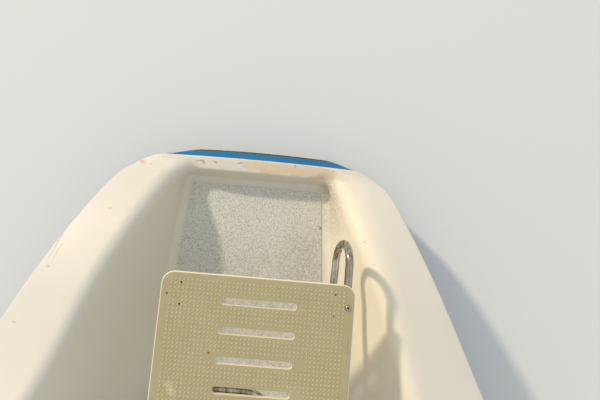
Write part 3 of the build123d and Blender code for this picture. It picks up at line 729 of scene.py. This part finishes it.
screw_tree, taken, end, identifiers = geometry_tree("screws_on_a_ring", (
    ("Screws", "NodeSocketInt"), ("Ring Radius", "NodeSocketFloat"),
    ("Head Diameter", "NodeSocketFloat"), ("Head Height", "NodeSocketFloat"),
    ("Finish", "NodeSocketMaterial")))
ring = place_node(screw_tree, "GeometryNodeMeshCircle", {
    "Vertices": taken["Screws"], "Radius": taken["Ring Radius"]}).outputs[0]
upright = place_node(screw_tree, "GeometryNodeTransform", {
    0: ring, "Rotation": (math.radians(90), math.radians(45), 0.0)}).outputs[0]
rings = place_node(screw_tree, "GeometryNodeInstanceOnPoints", {
    "Points": taken["Geometry"], "Instance": upright}).outputs[0]
seats = place_node(screw_tree, "GeometryNodeRealizeInstances", {0: rings}).outputs[0]
head = place_node(screw_tree, "GeometryNodeMeshUVSphere", {
    "Segments": 16, "Rings": 8, "Radius": 1.0}).outputs[0]
head_radius = place_node(screw_tree, "ShaderNodeMath", {
    0: taken["Head Diameter"], 1: 0.5}, operation="MULTIPLY").outputs[0]
head_shape = place_node(screw_tree, "ShaderNodeCombineXYZ", {
    "X": head_radius, "Y": taken["Head Height"], "Z": head_radius}).outputs[0]
heads = place_node(screw_tree, "GeometryNodeInstanceOnPoints", {
    "Points": seats, "Instance": head, "Scale": head_shape}).outputs[0]
solid = place_node(screw_tree, "GeometryNodeRealizeInstances", {0: heads}).outputs[0]
dressed = place_node(screw_tree, "GeometryNodeSetMaterial", {
    0: solid, "Material": taken["Finish"]}).outputs[0]
screw_tree.links.new(dressed, end)
grown_piece(
    "flange_screws", [flange_centre(flange, 1) for flange in FLANGES], screw_tree, identifiers,
    {"Screws": SCREWS_PER_FLANGE, "Ring Radius": BOLT_CIRCLE, "Head Diameter": HEAD_DIAMETER,
     "Head Height": HEAD_HEIGHT, "Finish": stainless},
    stainless, "stern",
)

# Rail plug: a black nylon insert, driven into the open aft end of the
# starboard rail so that water and fingers stay out.
NYLON_BLACK = (0.018, 0.018, 0.019, 1.0)
NYLON_FADED = (0.06, 0.06, 0.058, 1.0)

plug_black, tree, shader = new_material("black_nylon")
place = own_place(tree)
faded = clouds(tree, place, 160.0)
two_toned(tree, shader, faded, NYLON_BLACK, NYLON_FADED)
roughened(tree, shader, faded, 0.4, 0.6)
finish_nodes(plug_black, "seat_rail_plug")

# Seat plate: 12 mm khaki plastic sheet with a rounded edge, five drain slots
# and spare holes, its grip field of small domes pressed in when it was moulded.
KHAKI = (0.415, 0.355, 0.190, 1.0)
KHAKI_PALE = (0.49, 0.43, 0.25, 1.0)
KHAKI_DEEP = (0.33, 0.285, 0.145, 1.0)
# Near cream for the rounded edges: partly wear, partly a painted highlight.
KHAKI_EDGE_HIGHLIGHT = (0.86, 0.80, 0.60, 1.0)
SPOT_BROWN = (0.12, 0.085, 0.05, 1.0)
PIT_BROWN = (0.10, 0.08, 0.05, 1.0)
SMEAR_PALE = (0.68, 0.62, 0.47, 1.0)
RUB_BROWN = (0.20, 0.15, 0.09, 1.0)
EDGE_DROP = 0.0011
SEAT_GRAIN = 150.0
# name, across, ahead of the aft edge, half width, half length, turn,
# ragged, soft, strength, colour
SEAT_MARKS = (
    ("brown_spot", -0.051, 0.567, 0.0032, 0.0030, 0.0, 0.002, 0.4, 0.8, SPOT_BROWN),
    ("dark_dot", 0.037, 0.602, 0.0020, 0.0016, 0.0, 0.001, 0.4, 0.8, PIT_BROWN),
    ("pale_smear", -0.137, 0.662, 0.0070, 0.0150, -28.0, 0.008, 0.7, 0.55, SMEAR_PALE),
    ("rub_port", 0.300, 0.520, 0.0012, 0.0140, 6.0, 0.003, 0.8, 0.55, RUB_BROWN),
    ("rub_port_low", 0.304, 0.536, 0.0016, 0.0060, 0.0, 0.003, 0.8, 0.45, RUB_BROWN),
    ("pit_starboard", -0.1440, 0.440, 0.0016, 0.0016, 0.0, 0.001, 0.4, 0.8, PIT_BROWN),
    ("worn_port", 0.176, 0.655, 0.0260, 0.0200, 0.0, 0.020, 0.8, 0.25, KHAKI_PALE),
    ("rubbed_port", 0.245, 0.500, 0.0260, 0.0100, 20.0, 0.020, 0.8, 0.22, KHAKI_PALE),
)

seat_plastic, tree, shader = new_material("khaki_plastic")
place = own_place(tree)
sunned = clouds(tree, place, 9.0)
mottled = clouds(tree, place, 130.0)
colour = tinted(tree, KHAKI, sunned, 0.30, KHAKI_PALE)
colour = tinted(tree, colour, mottled, 0.22, KHAKI_DEEP)
settled = speckles(tree, place, 90.0, 0.10, 0.12)
colour = tinted(tree, colour, settled, 0.35, CHIP_BROWN)
for name, *form, soft, strength, tint in SEAT_MARKS:
    colour = tinted(tree, colour, marked(tree, place, *form, SEAT_GRAIN, soft), strength, tint)
plate_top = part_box("seat_plate")[1][2]
height = place_node(tree, "ShaderNodeSeparateXYZ", {0: place}).outputs["Z"]
# The rounded top edges and the slots' lips are painted near cream: partly worn paler, partly a
# painted highlight for the light these rounds catch.
rounded_edge_highlight = graded(tree, height, plate_top - EDGE_DROP / 3, plate_top - EDGE_DROP)
colour = tinted(tree, colour, rounded_edge_highlight, 0.9, KHAKI_EDGE_HIGHLIGHT)
tree.links.new(colour, shader.inputs["Base Color"])
roughened(tree, shader, sunned, 0.34, 0.44)
relieved(tree, shader, mottled, 0.12, 0.0004)
finish_nodes(seat_plastic, "seat_plate")

# Grip domes: a square grid of small domes of the plate's own khaki plastic,
# left out beside the slots and trodden flat in the worn spots.
# Paler tone of the domes: partly rubbed wear, partly a painted highlight.
KHAKI_RUBBED_HIGHLIT = (0.56, 0.49, 0.30, 1.0)
DOME_PITCH_ACROSS = 0.01064
DOME_PITCH_ALONG = 0.01068
DOME_COLUMNS = 43
DOME_ROWS = 37
DOME_DIAMETER = 0.0056
DOME_HEIGHT = 0.0016
FIRST_DOME_ACROSS = -0.1638
FIRST_DOME_AHEAD = 0.3893
SLOT_ACROSS = 0.064
FIRST_SLOT_AHEAD = 0.4355
SLOT_PITCH = 0.0735
SLOT_HALF_LENGTH = 0.098
SLOT_HALF_WIDTH = 0.0085
SLOT_MARGIN = 0.0075
WORN_REACH = 0.0105
WORN_SPOTS = (
    (0.181, 0.574), (0.178, 0.590), (0.176, 0.650), (0.184, 0.666), (0.205, 0.668),
    (0.160, 0.668), (-0.052, 0.575),
)

# The domes are coloured paler than the plate: partly rubbed wear, partly a painted highlight for
# the light their tops catch.
dome_plastic_rubbed_highlit, tree, shader = new_material("rubbed_highlit_khaki")
place = own_place(tree)
dome_tone = clouds(tree, place, 30.0)
two_toned(tree, shader, dome_tone, KHAKI_PALE, KHAKI_RUBBED_HIGHLIT)
roughened(tree, shader, dome_tone, 0.30, 0.42)

dome_tree, taken, end, identifiers = geometry_tree("grip_domes", (
    ("Columns", "NodeSocketInt"), ("Rows", "NodeSocketInt"),
    ("Field Width", "NodeSocketFloat"), ("Field Length", "NodeSocketFloat"),
    ("Field Centre", "NodeSocketVector"), ("Dome Diameter", "NodeSocketFloat"),
    ("Dome Height", "NodeSocketFloat"), ("Slot Centre", "NodeSocketVector"),
    ("Slot Pitch", "NodeSocketFloat"), ("Slot Straight", "NodeSocketFloat"),
    ("Slot Clearance", "NodeSocketFloat"), ("Worn Reach", "NodeSocketFloat"),
    ("Finish", "NodeSocketMaterial")))
field = place_node(dome_tree, "GeometryNodeMeshGrid", {
    "Size X": taken["Field Width"], "Size Y": taken["Field Length"],
    "Vertices X": taken["Columns"], "Vertices Y": taken["Rows"]}).outputs[0]
laid = place_node(dome_tree, "GeometryNodeTransform", {
    0: field, "Translation": taken["Field Centre"]}).outputs[0]
spot = place_node(dome_tree, "GeometryNodeInputPosition").outputs[0]
offset = place_node(dome_tree, "ShaderNodeVectorMath", {
    0: spot, 1: taken["Slot Centre"]}, operation="SUBTRACT").outputs[0]
parts = place_node(dome_tree, "ShaderNodeSeparateXYZ", {0: offset}).outputs
from_middle = reckoned(dome_tree, "ABSOLUTE", parts["X"])
along = reckoned(dome_tree, "SUBTRACT", from_middle, taken["Slot Straight"])
along = reckoned(dome_tree, "MAXIMUM", along, 0.0)
slots_away = reckoned(dome_tree, "DIVIDE", parts["Y"], taken["Slot Pitch"])
nearest = reckoned(dome_tree, "ROUND", slots_away)
beside = reckoned(dome_tree, "SUBTRACT", slots_away, nearest)
beside = reckoned(dome_tree, "MULTIPLY", beside, taken["Slot Pitch"])
gap = place_node(dome_tree, "ShaderNodeCombineXYZ", {"X": along, "Y": beside}).outputs[0]
gap = place_node(
    dome_tree, "ShaderNodeVectorMath", {0: gap}, operation="LENGTH").outputs["Value"]
by_slot = reckoned(dome_tree, "LESS_THAN", gap, taken["Slot Clearance"])
worn_gap = place_node(dome_tree, "GeometryNodeProximity", {
    "Geometry": taken["Geometry"]}, target_element="POINTS").outputs["Distance"]
trodden = reckoned(dome_tree, "LESS_THAN", worn_gap, taken["Worn Reach"])
left_out = place_node(dome_tree, "FunctionNodeCompare", {
    0: reckoned(dome_tree, "ADD", by_slot, trodden), 1: 0.5}, operation="GREATER_THAN").outputs[0]
kept = place_node(dome_tree, "GeometryNodeDeleteGeometry", {
    0: laid, "Selection": left_out}, domain="POINT").outputs[0]
dome = place_node(dome_tree, "GeometryNodeMeshUVSphere", {
    "Segments": 8, "Rings": 6, "Radius": 1.0}).outputs[0]
dome_radius = reckoned(dome_tree, "MULTIPLY", taken["Dome Diameter"], 0.5)
uneven = place_node(dome_tree, "FunctionNodeRandomValue", {
    2: 0.8, 3: 1.1, "Seed": 7}, data_type="FLOAT").outputs[1]
dome_shape = place_node(dome_tree, "ShaderNodeCombineXYZ", {
    "X": dome_radius, "Y": dome_radius,
    "Z": reckoned(dome_tree, "MULTIPLY", taken["Dome Height"], uneven)}).outputs[0]
pressed = place_node(dome_tree, "GeometryNodeInstanceOnPoints", {
    "Points": kept, "Instance": dome, "Scale": dome_shape}).outputs[0]
solid = place_node(dome_tree, "GeometryNodeRealizeInstances", {0: pressed}).outputs[0]
dressed = place_node(dome_tree, "GeometryNodeSetMaterial", {
    0: solid, "Material": taken["Finish"]}).outputs[0]
dome_tree.links.new(dressed, end)
field_width = (DOME_COLUMNS - 1) * DOME_PITCH_ACROSS
field_length = (DOME_ROWS - 1) * DOME_PITCH_ALONG
grown_piece(
    "grip_domes",
    [(across, LENGTH_AFT - ahead, plate_top) for across, ahead in WORN_SPOTS],
    dome_tree, identifiers,
    {"Columns": DOME_COLUMNS, "Rows": DOME_ROWS, "Field Width": field_width,
     "Field Length": field_length,
     "Field Centre": (FIRST_DOME_ACROSS + field_width / 2,
                      LENGTH_AFT - FIRST_DOME_AHEAD - field_length / 2, plate_top),
     "Dome Diameter": DOME_DIAMETER, "Dome Height": DOME_HEIGHT,
     "Slot Centre": (SLOT_ACROSS, LENGTH_AFT - FIRST_SLOT_AHEAD, plate_top),
     "Slot Pitch": SLOT_PITCH, "Slot Straight": SLOT_HALF_LENGTH - SLOT_HALF_WIDTH,
     "Slot Clearance": SLOT_HALF_WIDTH + SLOT_MARGIN, "Worn Reach": WORN_REACH,
     "Finish": dome_plastic_rubbed_highlit},
    dome_plastic_rubbed_highlit, "stern",
)

# Seat screws: stainless button heads with a hexagon socket on the port side
# and flush socket screws to starboard, driven down into the tubes' tabs.
RING_CORNERS = 24
SOCKET_DEPTH = 0.0024
SOCKET_FOOT = 0.9
SOCKET_CORNER = 1.16
BUTTON_LEAST_RISE = 0.001
LEVEL_SLACK = 0.0001
SAME_POINT = 0.000001
RECESS_SHADE_BLACK = (0.02, 0.018, 0.015, 1.0)
RECESS_SHADE_BROWN = (0.07, 0.06, 0.045, 1.0)
BUTTON_PROFILE = ((0.45, 0.98), (0.62, 0.90), (0.80, 0.70), (0.93, 0.40), (1.0, 0.10), (1.0, 0.0))
# node, socket radius, shank radius
SCREWS = (
    ("seat_screw_port_aft", 0.0026, 0.003),
    ("seat_screw_port_fwd", 0.0026, 0.003),
    ("seat_screw_stbd_aft", 0.0018, 0.0022),
    ("seat_screw_stbd_fwd", 0.0018, 0.0022),
)

# Painted shade: a near-black tone inside the screws' sockets and in the spare holes stands in for
# the shade in these recesses.
recess_shade_dark, tree, shader = new_material("painted_recess_shade")
place = own_place(tree)
shade_tone = clouds(tree, place, 400.0)
two_toned(tree, shader, shade_tone, RECESS_SHADE_BLACK, RECESS_SHADE_BROWN)
shader.inputs["Roughness"].default_value = 0.8


def socket_screw(node, socket_radius, shank_radius):
    """The node's own head and shank, with a hexagon socket sunk in its top."""
    low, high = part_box(node)
    centre = Vector(((low[0] + high[0]) / 2, (low[1] + high[1]) / 2, 0.0))
    head_radius = (high[0] - low[0]) / 2
    top = high[2]
    seat_height = min(plate_top, top)
    rise = top - seat_height
    socket_floor = top - SOCKET_DEPTH
    rings = [
        ("hexagon", socket_radius * SOCKET_FOOT, socket_floor),
        ("hexagon", socket_radius, top),
    ]
    if rise > BUTTON_LEAST_RISE:
        for share, lift in BUTTON_PROFILE:
            rings.append(("round", head_radius * share, seat_height + rise * lift))
    else:
        rings.append(("round", head_radius, top))
        rings.append(("round", shank_radius, top - (head_radius - shank_radius)))
    rings.append(("round", shank_radius, rings[-1][2]))
    rings.append(("round", shank_radius, low[2]))
    work = bmesh.new()
    rows = []
    for form, radius, level in rings:
        row = []
        for corner in range(RING_CORNERS):
            turn = 2 * math.pi * corner / RING_CORNERS
            out = radius
            if form == "hexagon":
                within = turn % (math.pi / 3) - math.pi / 6
                out = radius / math.cos(within)
            row.append(work.verts.new((
                centre.x + out * math.cos(turn), centre.y + out * math.sin(turn), level)))
        rows.append(row)
    work.faces.new(rows[0])
    work.faces.new(rows[-1])
    for upper, lower in zip(rows, rows[1:]):
        for corner in range(RING_CORNERS):
            after = (corner + 1) % RING_CORNERS
            work.faces.new((upper[corner], upper[after], lower[after], lower[corner]))
    bmesh.ops.remove_doubles(work, verts=work.verts, dist=SAME_POINT)
    for face in work.faces:
        within = all(
            (vertex.co.xy - centre.xy).length < socket_radius * SOCKET_CORNER
            and vertex.co.z > socket_floor - LEVEL_SLACK
            for vertex in face.verts)
        # The socket's walls and floor take the painted shade.
        if within and face.calc_center_median().z < top:
            face.material_index = 1
    piece = finished_piece(node + "_turned", work, stainless, "stern")
    piece.data.materials.append(recess_shade_dark)
    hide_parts(node)


for node, socket_radius, shank_radius in SCREWS:
    socket_screw(node, socket_radius, shank_radius)

# Spare holes: eight 6 mm holes drilled through the plate and left unused. A near-black disc a few
# millimetres under the top of each is painted shade: it stands in for the shade inside the hole.
HOLE_FROM_MIDDLE = 0.200
HOLE_RADIUS = 0.0029
HOLES_FROM_EDGE = (0.028, 0.083)
SHADE_DISC_DROP = 0.0030
SHADE_DISC_THICK = 0.0050
SHADE_DISC_CORNERS = 12

work = bmesh.new()
plate_low, plate_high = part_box("seat_plate")
plate_middle = (plate_low[0] + plate_high[0]) / 2
shade_disc_middle = plate_top - SHADE_DISC_DROP - SHADE_DISC_THICK / 2
for across in (plate_middle - HOLE_FROM_MIDDLE, plate_middle + HOLE_FROM_MIDDLE):
    for inset in HOLES_FROM_EDGE:
        for back in (plate_low[1] + inset, plate_high[1] - inset):
            bmesh.ops.create_cone(
                work, cap_ends=True, segments=SHADE_DISC_CORNERS, radius1=HOLE_RADIUS,
                radius2=HOLE_RADIUS, depth=SHADE_DISC_THICK,
                matrix=Matrix.Translation((across, back, shade_disc_middle)))
finished_piece("hole_shade_discs", work, recess_shade_dark, "stern")

# Rudder: a foam-cored glass blade in dark bottom paint on a stainless stock,
# which turns in two white acetal bushes glassed into the hull.
PAINT_DARK = (0.03, 0.045, 0.05, 1.0)
PAINT_WORN = (0.075, 0.10, 0.09, 1.0)
BARNACLE_WHITE = (0.42, 0.41, 0.34, 1.0)
ACETAL_WHITE = (0.72, 0.71, 0.66, 1.0)
ACETAL_AGED = (0.58, 0.55, 0.46, 1.0)

rudder_paint, tree, shader = new_material("rudder_bottom_paint")
place = own_place(tree)
scrubbed = clouds(tree, place, 12.0, (1.0, 1.0, 0.4))
barnacle = speckles(tree, place, 60.0, 0.12, 0.10)
colour = blended(tree, scrubbed, PAINT_DARK, PAINT_WORN)
colour = tinted(tree, colour, barnacle, 0.5, BARNACLE_WHITE)
tree.links.new(colour, shader.inputs["Base Color"])
roughened(tree, shader, scrubbed, 0.6, 0.8)
brushmarks = clouds(tree, place, 90.0, (1.0, 0.1, 1.0))
relieved(tree, shader, brushmarks, 0.2, 0.0006)
finish_nodes(rudder_paint, "rudder_blade")
finish_nodes(stainless, "rudder_stock")

acetal, tree, shader = new_material("white_acetal")
place = own_place(tree)
aged = clouds(tree, place, 60.0)
two_toned(tree, shader, aged, ACETAL_WHITE, ACETAL_AGED)
roughened(tree, shader, aged, 0.35, 0.5)
finish_nodes(acetal, "rudder_bush_lower", "rudder_bush_upper")
